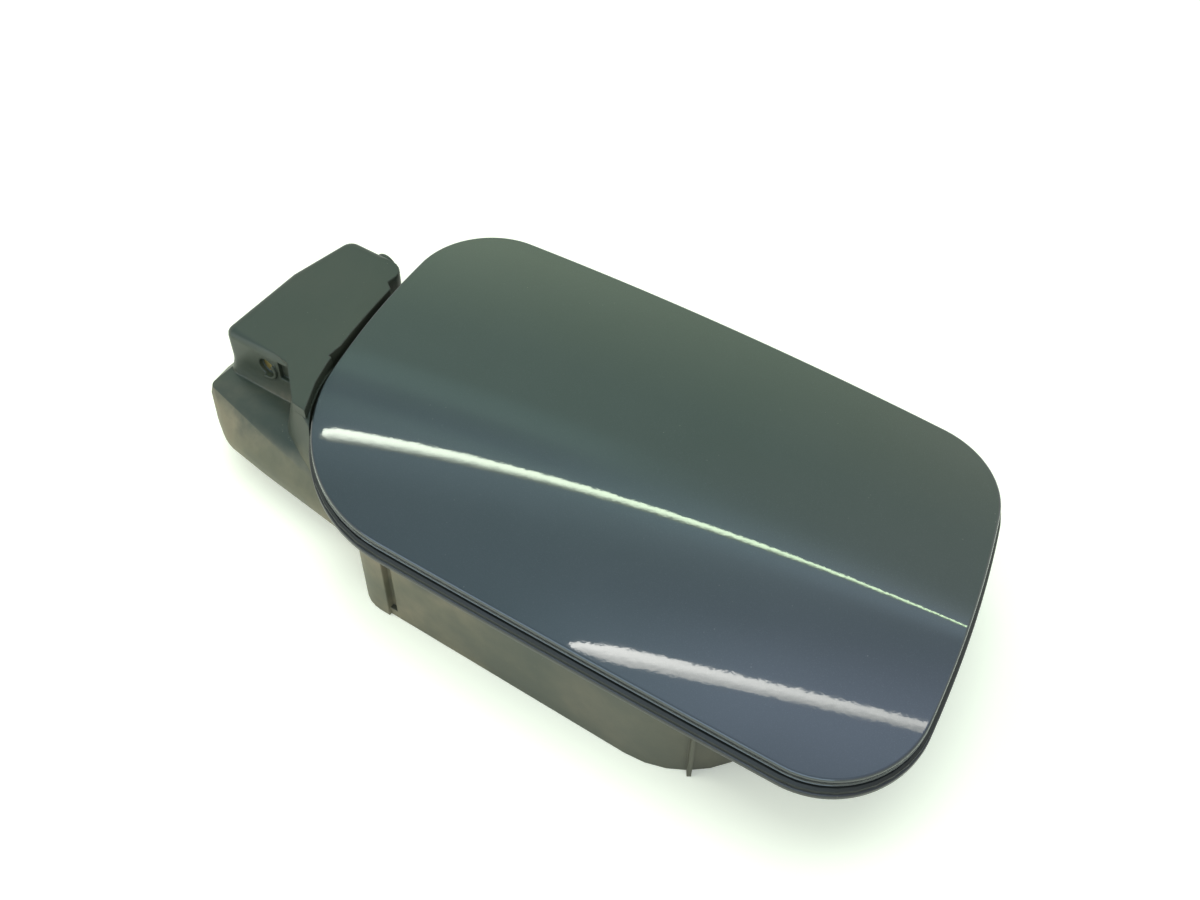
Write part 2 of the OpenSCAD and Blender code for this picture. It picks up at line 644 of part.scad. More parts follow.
// Hollow blend between the box's outer corner and the ledge
module box_blend() {
    rise = 6;
    fall = 2;
    hollow_r = 13.6;
    last = asin((rise + fall) / hollow_r);
    steps = 6;
    intersection() {
        ring_solid(concat(
            [box_ring(1, ledge_z + rise)],
            [for (i = [0:steps]) let (a = last * i / steps)
                box_ring(hollow_r * (cos(a) - 1), ledge_z + rise - hollow_r * sin(a))],
            [box_ring(1, ledge_z - fall)]));
        linear_extrude(roof_z) translate([axis_x, 0]) polygon([
            [-box_left - 14, -box_front - 7], [box_nose, -box_front - 7], [box_nose, -box_front + 1],
            [-box_left + 1, -box_front + 1], [-box_left + 1, 10], [-box_left, 10], [-box_left - 4, -6],
            [-box_left - 14, -10]]);
    }
}
module bulge(shrink) {
    r = bulge_r - shrink;
    edge_r = ledge_edge_r + 2 - shrink;
    low = bulge_z + bulge_r;
    back = box_back - bulge_r;
    front_edge = -box_front - ledge_w + ledge_edge_r;
    hull() {
        for (p = pocket_bed) translate([axis_x + p[0], -box_front + p[1], low])
            sphere(r = r, $fn = blend_fn);
        for (x = [-9, 43.6]) translate([axis_x + x, back, low])
            sphere(r = r, $fn = blend_fn);
        for (p = [[-14.2, front_edge + 0.4], [12, front_edge + 1.4], [-12.5, back + 8]])
            translate([axis_x + p[0], p[1], ledge_z - ledge_edge_r - 1.5])
                rounded_disc(edge_r, ledge_edge_r + 1.5 - shrink);
    }
}
// Disc with a rounded upper rim
module rounded_disc(r, h) {
    cylinder(r1 = r, r2 = r - 0.8, h = h, $fn = blend_fn);
}
module cheek(shrink, top) {
    r = cheek_r - shrink;
    hull() {
        translate([axis_x + 21, -shoulder_front + 8.6, 20])
            cylinder(r1 = r + cheek_spread, r2 = r - 1.4, h = top - 20, $fn = blend_fn);
        translate([axis_x + 36, -shoulder_front + 3, 18])
            cylinder(r1 = r + cheek_spread, r2 = r, h = top - 21, $fn = blend_fn);
        translate([axis_x + 50, -shoulder_front - 1, 18]) cylinder(r = r, h = 14, $fn = blend_fn);
        translate([axis_x + 50, 10, 12]) cylinder(r = r, h = 20, $fn = blend_fn);
        translate([axis_x + 21, 10, 20]) cylinder(r = r, h = 14, $fn = blend_fn);
    }
}
module shoulder() {
    rim_inset = 0.1;
    skirt_outer = [for (i = [path_n - 1:-1:0]) beside_path(i, skirt_t)];
    // Roof that reaches to the door's edge
    translate([0, 0, roof_z - shoulder_t]) linear_extrude(shoulder_t) polygon(concat(
        [[axis_x + box_nose - 6, -box_front + 1], [axis_x + box_nose, -box_front + 0.2],
         [axis_x + shoulder_x, -shoulder_front], [axis_x + shoulder_x + 5, -shoulder_front - 0.5]],
        [for (i = [path_n - 1:-1:0]) beside_path(i, 0)],
        [[axis_x + 2, box_back - 3]]));
    // Skirt from the roof down to the rim
    translate([0, 0, skirt_z]) linear_extrude(roof_z - skirt_z - 1)
        polygon(concat([for (i = [0:path_n - 1]) beside_path(i, 0)], skirt_outer));
    translate([0, 0, skirt_z]) linear_extrude(skirt_foot_h)
        polygon(concat([for (e = hinge_path) moved_in(e, rim_inset - rim_over)], skirt_outer));
}
// The roof falls away towards the door along a slanting ridge
module roof_fall() {
    translate([axis_x + 0.5, box_back, roof_z]) rotate(-ridge_turn) rotate([0, ridge_fall, 0])
        translate([0, -60, 0]) cube([40, 70, 10]);
}
// Hollow of the hinge box and the pocket, drawn across the hinge axis
module arm_space() {
    top = roof_z - roof_t - hinge_height;
    under_rim = skirt_z - hinge_height;
    union() {
        polygon([
            [-box_left + wall, top], [1, top], [5.6, top - 2], [box_right - skirt_t, top - 2],
            [box_right - skirt_t, under_rim], [slot_x0, under_rim], [slot_x0, -sweep_r], [0, -sweep_r],
            [-box_left + wall, -12]]);
        intersection() {
            circle(r = sweep_r, $fn = 2 * round_fn);
            translate([-40, -40]) square([80, 40 + under_rim]);
        }
    }
}
module pocket_space() {
    intersection() {
        along_y(-box_front, box_back) translate([axis_x, hinge_height]) arm_space();
        linear_extrude(roof_z) polygon(flat_outline(pocket_edge, 0));
    }
    bulge(wall);
    cheek(wall, skirt_z - 1);
    block([axis_x + slot_x0, arm_front - slot_side, tray_z - 2],
          [axis_x + slot_x1, arm_back + slot_side, door_top + 10]);
}
module pin_bearings() {
    translate([axis_x, 0, hinge_height]) {
        along_y(-box_front + 1, bearing_front) circle(r = bearing_r, $fn = round_fn);
        along_y(bearing_back, box_back - 1) circle(r = bearing_r, $fn = round_fn);
        along_y(box_back - 1, box_back + stub_len) circle(r = stub_r, $fn = round_fn);
        // Lip round the lower side of the pin's hole
        intersection() {
            along_y(-box_front - lip_h, -box_front + 1) circle(r = recess_r + lip_t, $fn = round_fn);
            along_y(-box_front - lip_h, -box_front + 1) sector(2 * bearing_r, lip_from, lip_to);
        }
    }
}
module lock_boss() {
    block([lock_boss_x, lock_y - lock_boss_side, tray_z + 1],
          [lock_boss_x + lock_boss_t, lock_y + lock_boss_side, lock_boss_top]);
}
module housing() {
    color(dusty_plastic) difference() {
        union() {
            difference() {
                union() {
                    rim_and_tray();
                    pot_outside();
                    difference() {
                        union() {
                            hinge_box_outside();
                            box_blend();
                            shoulder();
                        }
                        roof_fall();
                    }
                    difference() {
                        union() {
                            bulge(0);
                            cheek(0, roof_z - shoulder_t + 0.1);
                        }
                        door_room();
                    }
                    lock_boss();
                    for (p = stop_places) translate([p[0], p[1], tray_z + 1])
                        cylinder(r1 = stop_r + 2.4, r2 = stop_r + 1, h = stop_seat_z - tray_z - 1,
                                 $fn = round_fn);
                    for (y = body_screw_ys) translate([body_screw_x, y, tray_z])
                        cylinder(r = screw_hole_r + 3, h = wall + 1.5, $fn = round_fn);
                }
                intersection() {
                    pocket_space();
                    block([-200, -100, 0], [-pot_left, 100, 100]);
                }
                // Inside of the pot
                translate([0, 0, wall]) linear_extrude(door_top) polygon(flat_outline(pot_edge, wall));
            }
            pin_bearings();
            // Raised seat of the collar
            cylinder(r1 = seat_ring_r + 4, r2 = seat_ring_r, h = seat_z + wall, $fn = 2 * round_fn);
            along_y(pot_back - 1, pot_back + spigot_len) translate([spigot_x, spigot_z])
                circle(r = spigot_r, $fn = round_fn);
        }
        translate([0, 0, -1]) cylinder(r1 = seat_ring_r + 2.5, r2 = seat_ring_r - wall, h = seat_z + 1,
                                       $fn = 2 * round_fn);
        cylinder(r = collar_r + seat_gap, h = 40, center = true, $fn = 2 * round_fn);
        translate([axis_x, 0, hinge_height]) {
            along_y(-box_front - 2, -box_front + pin_recess) circle(r = recess_r, $fn = round_fn);
            along_y(-box_front, box_back + stub_len + 1) circle(r = pin_r + seat_gap, $fn = round_fn);
        }
        // Notch beside the pin's hole
        block([axis_x + notch_x, -box_front - 1, hinge_height - 1.6],
              [axis_x + notch_x + notch_w, -box_front + wall - 0.6, hinge_height + 4.8]);
        // Groove in the pot's front wall
        block([groove_x, -pot_front - 1, 3], [groove_x + groove_w, -pot_front + groove_d, tray_z + 4]);
        along_y(pot_back - wall - 1, pot_back + spigot_len + 1) translate([spigot_x, spigot_z])
            circle(r = spigot_r - 1.5, $fn = round_fn);
        translate([lock_boss_x - 5, lock_y, lock_z]) rotate([0, 90, 0])
            cylinder(r = guide_r + seat_gap, h = 20, $fn = round_fn);
        for (y = body_screw_ys) translate([body_screw_x, y, tray_z - 1])
            cylinder(r = screw_hole_r, h = 10, $fn = round_fn);
    }
}

module rim_seal() {
    top = rim_drop - seal_h;
    foot = rim_drop - sheet_gap / 2;
    outer = 0.2 - rim_over;
    inner = seal_w - rim_over;
    color(rubber) difference() {
        ring_solid([
            edge_ring(inner, top + 0.9), edge_ring(inner - 1, top + 0.2), edge_ring(outer + 0.6, top),
            edge_ring(outer, top + 0.6), edge_ring(outer, foot), edge_ring(inner, foot)]);
        // Break where the arm comes through
        block([axis_x, arm_front - slot_side, 0], [axis_x + slot_x1, arm_back + slot_side, door_top]);
    }
}

// Collar that seals the pot to the filler neck
module neck_collar() {
    lip = 3.5;
    top = seat_z + wall + seat_gap;
    color(rubber) rotate_extrude($fn = 2 * round_fn) polygon([
        [filler_r, 0], [collar_r + lip, 0], [collar_r + lip, seat_z - 1],
        [collar_r + lip - 0.8, seat_z - seat_gap], [collar_r, seat_z - seat_gap], [collar_r, top],
        [collar_r + lip, top], [collar_r + lip - 1, top + 2], [collar_r - 1, collar_h - 2],
        [filler_r + 1.6, collar_h], [filler_r, collar_h]]);
}

// Rubber stops that the closed door stands off
module bump_stops() {
    dome_r = 1.6 * stop_r;
    dome_a = asin(stop_r / dome_r);
    color(rubber) for (p = stop_places) {
        h = skin_height(p[0], p[1]) - panel_drop - rest_gap - stop_seat_z;
        translate([p[0], p[1], stop_seat_z]) rotate_extrude($fn = round_fn) polygon(concat(
            [[0, 0], [stop_r, 0]],
            [for (i = [0:4]) let (a = dome_a * (1 - i / 4))
                [dome_r * sin(a), h - dome_r + dome_r * cos(a)]]));
    }
}

// Guide of the central lock's pin, clipped through the tray wall
module lock_guide() {
    flange_x = lock_boss_x - guide_flange_w;
    color(black_plastic) translate([flange_x, lock_y, lock_z]) rotate([0, 90, 0]) difference() {
        union() {
            cylinder(r = guide_r, h = guide_len, $fn = round_fn);
            cylinder(r = guide_r + guide_flange_w, h = guide_flange_w, $fn = round_fn);
        }
        translate([0, 0, -1]) cylinder(r = lock_r, h = guide_len + 2, $fn = round_fn);
    }
}
module guide_seal() {
    color(rubber) translate([lock_boss_x + lock_boss_t, lock_y, lock_z]) rotate([0, 90, 0]) difference() {
        cylinder(r1 = guide_r + guide_seal_w, r2 = guide_r + guide_seal_w / 2,
                 h = guide_seal_t, $fn = round_fn);
        translate([0, 0, -1]) cylinder(r = guide_r + seat_gap, h = guide_seal_t + 2, $fn = round_fn);
    }
}

// Steel striker under the door, with the eye that the lock pin enters
module striker() {
    color(steel) difference() {
        union() {
            block([striker_x - striker_half_w, lock_y - striker_half_len, striker_top - striker_t],
                  [striker_x + striker_half_w, lock_y + striker_half_len, striker_top]);
            intersection() {
                translate([striker_x - striker_t, lock_y, lock_z]) rotate([0, 90, 0])
                    cylinder(r = striker_ring_r, h = 2 * striker_t, $fn = round_fn);
                block([striker_x - striker_half_w, lock_y - striker_half_len, lock_z - 2 * striker_ring_r],
                      [striker_x + striker_half_w, lock_y + striker_half_len, striker_top - striker_t / 3]);
            }
            block([striker_x - striker_t, lock_y - striker_ring_r, lock_z],
                  [striker_x + striker_t, lock_y + striker_ring_r, striker_top - striker_t / 3]);
        }
        translate([striker_x - striker_half_w, lock_y, lock_z]) rotate([0, 90, 0])
            cylinder(r = lock_r + 0.5, h = 2 * striker_half_w, $fn = round_fn);
        for (y = striker_screw_ys) translate([striker_x, y, striker_top - 2 * striker_t])
            cylinder(r = screw_r + side_gap, h = 3 * striker_t, $fn = round_fn);
    }
}
module striker_screws() {
    color(steel) for (y = striker_screw_ys) pan_screw(striker_x, y, striker_top - striker_t,
                                                     striker_t + striker_screw_bite);
}

// Cradle on the door that the filler cap hangs in while filling
module cap_holder() {
    back = holder_y + holder_half_d;
    front = holder_y - holder_half_d;
    foot = holder_top - holder_reach;
    color(black_plastic) union() {
        block([holder_x - holder_w / 2, front, holder_top - holder_t],
              [holder_x + holder_w / 2, back, holder_top]);
        for (s = [-1, 1]) translate([holder_x + s * (holder_w - holder_t) / 2, 0, 0])
            rotate([90, 0, 90]) translate([0, 0, -holder_t / 2]) linear_extrude(holder_t) polygon([
                [front, holder_top - holder_t / 2], [front + 1, foot], [back, foot], [back, foot + holder_t],
                [holder_y, foot + holder_t + 0.5], [holder_y, holder_top - 1.5 * holder_t],
                [back, holder_top - holder_t / 2]]);
    }
}

door_skin();
door_inner_panel();
hinge_arm();
arm_screws();
pivot_bushes();
hinge_pin();
cam_spring();
housing();
rim_seal();
neck_collar();
bump_stops();
lock_guide();
guide_seal();
striker();
striker_screws();
cap_holder();
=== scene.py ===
import bmesh
import bpy
import json
import math
from mathutils import Matrix, Vector

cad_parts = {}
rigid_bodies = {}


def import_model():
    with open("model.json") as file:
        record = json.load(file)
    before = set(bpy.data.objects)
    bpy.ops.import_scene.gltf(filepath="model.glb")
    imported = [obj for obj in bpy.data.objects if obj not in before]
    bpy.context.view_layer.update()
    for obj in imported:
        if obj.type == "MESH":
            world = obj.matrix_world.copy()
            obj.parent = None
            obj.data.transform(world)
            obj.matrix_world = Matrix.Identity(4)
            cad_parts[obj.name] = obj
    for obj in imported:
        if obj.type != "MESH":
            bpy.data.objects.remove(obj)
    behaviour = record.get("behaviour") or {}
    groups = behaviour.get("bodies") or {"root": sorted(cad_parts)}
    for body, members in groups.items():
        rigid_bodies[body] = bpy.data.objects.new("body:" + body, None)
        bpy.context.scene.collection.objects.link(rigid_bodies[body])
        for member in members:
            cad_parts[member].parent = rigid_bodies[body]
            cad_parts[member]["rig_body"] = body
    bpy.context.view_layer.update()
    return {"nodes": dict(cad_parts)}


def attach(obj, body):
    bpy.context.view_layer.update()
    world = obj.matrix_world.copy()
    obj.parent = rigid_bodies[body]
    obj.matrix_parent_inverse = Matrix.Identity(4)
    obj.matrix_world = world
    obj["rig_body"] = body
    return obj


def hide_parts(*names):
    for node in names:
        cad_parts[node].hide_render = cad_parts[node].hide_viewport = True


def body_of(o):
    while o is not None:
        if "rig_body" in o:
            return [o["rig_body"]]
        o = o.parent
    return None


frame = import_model()
scene = bpy.context.scene
nodes = frame["nodes"]

# Camera at the photograph's place
right = Vector((0.8357, 0.5490, 0.0158))
up = Vector((-0.4250, 0.6283, 0.6516))
back = right.cross(up).normalized()
up = back.cross(right).normalized()
right = up.cross(back).normalized()
cam_data = bpy.data.cameras.new("camera")
cam_data.sensor_width = 36.0
cam_data.lens = 39.0
cam_data.clip_start = 0.01
cam_data.clip_end = 50.0
camera = bpy.data.objects.new("camera", cam_data)
scene.collection.objects.link(camera)
turn = Matrix((right, up, back)).transposed().to_4x4()
turn.translation = Vector((0.10425, -0.19467, 0.31268))
camera.matrix_world = turn
scene.camera = camera
scene.view_settings.view_transform = "Standard"


# Node helpers
class Tree:
    def __init__(self, tree):
        self.tree = tree
        tree.nodes.clear()

    def add(self, kind, **values):
        node = self.tree.nodes.new(kind)
        for key, value in values.items():
            setattr(node, key, value)
        return node

    def link(self, a, b):
        self.tree.links.new(a, b)

    def math(self, op, a, b=None, clamp=False):
        node = self.tree.nodes.new("ShaderNodeMath")
        node.operation = op
        node.use_clamp = clamp
        for i, v in enumerate((a, b)):
            if v is None:
                continue
            if isinstance(v, (int, float)):
                node.inputs[i].default_value = v
            else:
                self.link(v, node.inputs[i])
        return node.outputs[0]

    def range(self, value, lo, hi, out_lo=0.0, out_hi=1.0, smooth=False):
        node = self.tree.nodes.new("ShaderNodeMapRange")
        if smooth:
            node.interpolation_type = "SMOOTHSTEP"
        self.link(value, node.inputs["Value"])
        node.inputs["From Min"].default_value = lo
        node.inputs["From Max"].default_value = hi
        node.inputs["To Min"].default_value = out_lo
        node.inputs["To Max"].default_value = out_hi
        return node.outputs["Result"]

    def mix(self, factor, a, b, kind="MIX"):
        node = self.tree.nodes.new("ShaderNodeMix")
        node.data_type = "RGBA"
        node.blend_type = kind
        for socket, v in ((node.inputs[0], factor), (node.inputs[6], a), (node.inputs[7], b)):
            if isinstance(v, (int, float)):
                socket.default_value = v
            elif isinstance(v, (tuple, list)):
                socket.default_value = (*v, 1.0)
            else:
                self.link(v, socket)
        return node.outputs[2]

    def ramp(self, value, stops):
        node = self.add("ShaderNodeValToRGB")
        marks = node.color_ramp.elements
        while len(marks) < len(stops):
            marks.new(0.5)
        for mark, (at, colour) in zip(marks, stops):
            mark.position = at
            mark.color = (*colour, 1.0)
        self.link(value, node.inputs[0])
        return node.outputs["Color"]

    def soft_edges(self, radius):
        node = self.add("ShaderNodeBevel", samples=6)
        node.inputs["Radius"].default_value = radius
        return node.outputs[0]

    def place(self):
        return self.add("ShaderNodeTexCoord").outputs["Object"]

    def noise(self, scale, detail=4.0, rough=0.5, where=None, stretch=None):
        where = where or self.place()
        if stretch:
            mapping = self.add("ShaderNodeMapping")
            mapping.inputs["Scale"].default_value = stretch
            self.link(where, mapping.inputs["Vector"])
            where = mapping.outputs["Vector"]
        node = self.add("ShaderNodeTexNoise")
        node.inputs["Scale"].default_value = scale
        node.inputs["Detail"].default_value = detail
        node.inputs["Roughness"].default_value = rough
        self.link(where, node.inputs["Vector"])
        return node.outputs["Fac"]

    def specks(self, scale, size, where=None):
        node = self.add("ShaderNodeTexVoronoi")
        node.inputs["Scale"].default_value = scale
        self.link(where or self.place(), node.inputs["Vector"])
        soft_rim = 0.6
        return self.range(node.outputs["Distance"], size, size * soft_rim)

    # Distance is in metres
    def bump(self, height, strength, distance, normal=None):
        node = self.add("ShaderNodeBump")
        node.inputs["Strength"].default_value = strength
        node.inputs["Distance"].default_value = distance
        self.link(height, node.inputs["Height"])
        if normal:
            self.link(normal, node.inputs["Normal"])
        return node.outputs["Normal"]


# A new material with one shader on its output
def material(name, shader="ShaderNodeBsdfPrincipled"):
    m = bpy.data.materials.new(name)
    m.use_nodes = True
    t = Tree(m.node_tree)
    out = t.add("ShaderNodeOutputMaterial")
    bsdf = t.add(shader)
    t.link(bsdf.outputs[0], out.inputs[0])
    return m, t, bsdf


# Metallic paint under clear coat. Coat is the clear coat's weight; low and high are the ends of the
# base colour's slow drift.
def paint_material(name, coat, low=(0.018, 0.026, 0.030), high=(0.021, 0.029, 0.034)):
    m, t, bsdf = material(name)
    cloud = t.noise(35.0, 3.0, 0.5)
    flakes = t.noise(4200.0, 2.0, 0.6)
    colour = t.mix(t.range(cloud, 0.3, 0.7), low, high)
    colour = t.mix(t.range(flakes, 0.55, 0.75), colour, (0.032, 0.042, 0.049))
    # Sparse fine dust
    place = t.place()
    patches = t.range(t.noise(70.0, 3.0, 0.5, place), 0.58, 0.66)
    dust = t.math("MULTIPLY", t.specks(420.0, 0.09, place), patches)
    colour = t.mix(t.math("MULTIPLY", dust, 0.3), colour, (0.16, 0.17, 0.16))
    t.link(colour, bsdf.inputs["Base Color"])
    bsdf.inputs["Metallic"].default_value = 0.55
    bsdf.inputs["Roughness"].default_value = 0.42
    bsdf.inputs["Coat Weight"].default_value = coat
    bsdf.inputs["Coat Roughness"].default_value = 0.025
    bsdf.inputs["Coat IOR"].default_value = 1.5
    t.link(t.bump(flakes, 0.1, 0.00008), bsdf.inputs["Normal"])
    # Orange peel: a few thousandths of a millimetre over 2 mm
    peel = t.noise(480.0, 2.5, 0.65)
    t.link(t.bump(peel, 1.0, 0.0000030), bsdf.inputs["Coat Normal"])
    return m


# Dusty moulded plastic: dark base, a film in drifts, and loose grains. The film is partly dust and partly
# painted light: dust is the film's colour, and shares are its share on upright faces and on faces that look
# up, so upright faces take more of it as painted light from the bright floor. The last argument holds two
# points (x, z) in metres and a share: the film is full before and below the first, thins along +X down to
# the share at the second, and is almost gone above the second. This fullness low down and towards -X is
# also painted light, from the floor and from the left.
def plastic_material(name, base, dust, shares, rough=0.5, grain=0.5, film_fade=None):
    m, t, bsdf = material(name)
    place = t.place()
    axes = t.add("ShaderNodeSeparateXYZ")
    t.link(t.add("ShaderNodeTexCoord").outputs["Normal"], axes.inputs[0])
    drift = t.noise(38.0, 5.0, 0.6, place)
    smear = t.noise(120.0, 4.0, 0.6, place, (1.0, 0.35, 0.8))
    grains = t.specks(900.0, 0.13, place)
    sparse = t.range(t.noise(160.0, 3.0, 0.5, place), 0.60, 0.68)
    stain = t.range(t.noise(26.0, 4.0, 0.55, place), 0.36, 0.64, smooth=True)
    # Painted light: upright faces take a larger share of the film than faces that look up, as if lit by the
    # floor
    looks_up = t.range(axes.outputs["Z"], 0.55, 0.92, smooth=True)
    share = t.range(looks_up, 0.0, 1.0, shares[0], shares[1])
    film = t.math("MULTIPLY", t.range(drift, 0.3, 0.7, 0.6, 1.0), share)
    smear_film = t.math("MULTIPLY", t.range(smear, 0.4, 0.7, 0.0, 0.35), share)
    film = t.math("ADD", film, smear_film, clamp=True)
    # Film fullest low down and towards -X: partly dust, partly painted light from the floor and from the left
    if film_fade:
        (x_full, z_full), (x_thin, z_none), thin_share = film_fade
        at = t.add("ShaderNodeSeparateXYZ")
        t.link(place, at.inputs[0])
        wander = t.range(drift, 0.3, 0.7, -0.006, 0.006)
        low = t.range(t.math("ADD", at.outputs["Z"], wander), z_full, z_none, 1.0, 0.0, smooth=True)
        left = t.range(t.math("ADD", at.outputs["X"], wander), x_full, x_thin, 1.0, thin_share, smooth=True)
        film = t.math("MULTIPLY", film, t.range(t.math("MULTIPLY", low, left), 0.0, 1.0, 0.12, 1.0))
        film = t.math("MULTIPLY", film, t.range(stain, 0.0, 1.0, 0.50, 1.22))
    dark_film = tuple(0.8 * c for c in dust)
    warm_film = (dust[0], 0.92 * dust[1], dust[2])
    colour = t.mix(film, base, t.mix(stain, dark_film, warm_film))
    spots = t.math("MULTIPLY", grains, sparse)
    colour = t.mix(t.math("MULTIPLY", spots, 0.40), colour, (0.30, 0.29, 0.22))
    t.link(colour, bsdf.inputs["Base Color"])
    t.link(t.range(film, 0.0, 1.0, rough - 0.06, rough + 0.22), bsdf.inputs["Roughness"])
    leather = t.noise(1500.0, 3.0, 0.6, place)
    height = t.math("ADD", t.math("MULTIPLY", leather, grain), t.math("MULTIPLY", spots, 0.6))
    t.link(t.bump(height, 0.25, 0.00015, t.soft_edges(0.0007)), bsdf.inputs["Normal"])
    return m


def rubber_material():
    m, t, bsdf = material("seal_rubber")
    place = t.place()
    film = t.range(t.noise(60.0, 5.0, 0.65, place), 0.35, 0.75, 0.1, 0.6)
    colour = t.mix(film, (0.007, 0.009, 0.010), (0.022, 0.025, 0.023))
    t.link(colour, bsdf.inputs["Base Color"])
    t.link(t.range(film, 0.0, 1.0, 0.45, 0.75), bsdf.inputs["Roughness"])
    bsdf.inputs["Specular IOR Level"].default_value = 0.3
    t.link(t.bump(t.noise(1800.0, 3.0, 0.6, place), 0.2, 0.0001), bsdf.inputs["Normal"])
    return m


def metal_material(name, low, high, rough):
    m, t, bsdf = material(name)
    place = t.place()
    tint = t.noise(220.0, 5.0, 0.6, place)
    t.link(t.mix(t.range(tint, 0.3, 0.7), low, high), bsdf.inputs["Base Color"])
    bsdf.inputs["Metallic"].default_value = 1.0
    t.link(t.range(tint, 0.3, 0.7, rough, rough + 0.18), bsdf.inputs["Roughness"])
    t.link(t.bump(t.noise(1400.0, 3.0, 0.6, place), 0.12, 0.0001), bsdf.inputs["Normal"])
    return m


paint = paint_material("slate_paint", 1.0)
# Same paint for the door's turned edge, with a darker base colour that is painted shade, and a thinner clear
# coat
shaded_edge_paint = paint_material("slate_edge_paint", 0.35, (0.007, 0.010, 0.018), (0.009, 0.012, 0.022))
# Its film is partly dust and partly painted light: heavy on upright faces, light on faces that look up, and
# fullest low down towards -X
housing_plastic = plastic_material(
    "housing_plastic", (0.019, 0.030, 0.022), (0.262, 0.244, 0.156), (0.80, 0.22),
    film_fade=((-0.070, 0.022), (0.010, 0.031), 0.16))
rim_plastic = plastic_material(
    "rim_plastic", (0.006, 0.008, 0.010), (0.034, 0.033, 0.028), (0.22, 0.10), rough=0.34)
panel_plastic = plastic_material("panel_plastic", (0.016, 0.018, 0.018), (0.075, 0.073, 0.058), (0.3, 0.2))
bush_plastic = plastic_material("bush_plastic", (0.52, 0.50, 0.42), (0.40, 0.36, 0.27), (0.3, 0.3))
rubber = rubber_material()
zinc = metal_material("yellow_zinc", (0.56, 0.42, 0.16), (0.66, 0.55, 0.27), 0.3)
steel = metal_material("bright_zinc", (0.50, 0.50, 0.49), (0.64, 0.64, 0.62), 0.25)
finishes = {
    "housing": housing_plastic, "door_inner_panel": panel_plastic, "hinge_arm": panel_plastic,
    "lock_guide": panel_plastic, "cap_holder": panel_plastic, "pivot_bushes": bush_plastic,
    "rim_seal": rubber, "neck_collar": rubber, "bump_stops": rubber, "guide_seal": rubber,
    "hinge_pin": zinc, "cam_spring": zinc, "arm_screws": steel, "striker": steel, "striker_screws": steel,
}
weld = 0.000001  # metres
edge_angle, housing_edge_angle = 32.0, 24.0  # degrees


# A node's mesh again, with its facets joined and shaded round, and its real edges kept sharp
def rounded(node, finish, sharp_from):
    work = bmesh.new()
    work.from_mesh(nodes[node].data)
    bmesh.ops.remove_doubles(work, verts=work.verts, dist=weld)
    work.verts.index_update()
    verts = [v.co[:] for v in work.verts]
    faces = [[v.index for v in f.verts] for f in work.faces]
    work.free()
    name = "finished_" + node
    data = bpy.data.meshes.new(name)
    data.from_pydata(verts, [], faces)
    data.update()
    for p in data.polygons:
        p.use_smooth = True
    data.set_sharp_from_angle(angle=math.radians(sharp_from))
    data.materials.append(finish)
    obj = bpy.data.objects.new(name, data)
    scene.collection.objects.link(obj)
    even = obj.modifiers.new("even_shading", "WEIGHTED_NORMAL")
    even.keep_sharp = True
    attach(obj, body_of(nodes[node])[0])
    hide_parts(node)


for name, finish in finishes.items():
    rounded(name, finish, housing_edge_angle if name == "housing" else edge_angle)

# Door outline in millimetres: corner circles (x, y, radius), joined by bowed sides with these radii
corners = [(-51.0, -6.0, 50.0), (64.6, -27.0, 26.0), (55.6, 32.8, 26.0), (-83.0, 35.6, 24.0)]
bows = [2300.0, 380.0, 2300.0, 380.0]
corner_steps = 30
side_steps = 34


# Centre of the side of radius r that touches corner circles a and b
def bow_centre(a, b, r):
    dx, dy = b[0] - a[0], b[1] - a[1]
    d = math.hypot(dx, dy)
    dx, dy = dx / d, dy / d
    ra, rb = r - a[2], r - b[2]
    s = (ra * ra - rb * rb + d * d) / (2 * d)
    h = math.sqrt(ra * ra - s * s)
    return (a[0] + dx * s - dy * h, a[1] + dy * s + dx * h)


# Points and outward directions along an arc, its end left to the next arc
def arc(c, r, a0, a1, steps):
    out = []
    for i in range(steps):
        a = a0 + (a1 - a0) * i / steps
        out.append((c[0] + r * math.cos(a), c[1] + r * math.sin(a), math.cos(a), math.sin(a)))
    return out


# Closed outline as (x, y, outward x, outward y)
def door_outline():
    n = len(corners)
    mid = [bow_centre(corners[i], corners[(i + 1) % n], bows[i]) for i in range(n)]

    def heading(p, q):
        return math.atan2(q[1] - p[1], q[0] - p[0])

    def onward(a, b):
        return a + (b - a) % (2 * math.pi)

    out = []
    for i, c in enumerate(corners):
        a0 = heading(mid[i - 1], c)
        a1 = onward(a0, heading(mid[i], c))
        a2 = onward(a1, heading(mid[i], corners[(i + 1) % n]))
        out += arc(c, c[2], a0, a1, corner_steps) + arc(mid[i], bows[i], a1, a2, side_steps)
    return out


# Height of the skin's face in millimetres: a crowned sheet that falls away in front of a soft crease,
# which widens from the free end to the hinge end
def skin_height(x, y):
    free_end, length = 90.6, 197.6
    before_crease = -14 + 0.154 * x - y
    softness = 6 + 44 * max(0.0, free_end - x) / length
    fall = 0.14 * (math.sqrt(before_crease * before_crease + softness * softness) + before_crease) / 2
    return 48.6 - fall - y * y / 2200 - x * x / 4400


# The face's normal
def slope(x, y):
    h = 0.02
    gx = (skin_height(x + h, y) - skin_height(x - h, y)) / (2 * h)
    gy = (skin_height(x, y + h) - skin_height(x, y - h)) / (2 * h)
    return Vector((-gx, -gy, 1.0)).normalized()


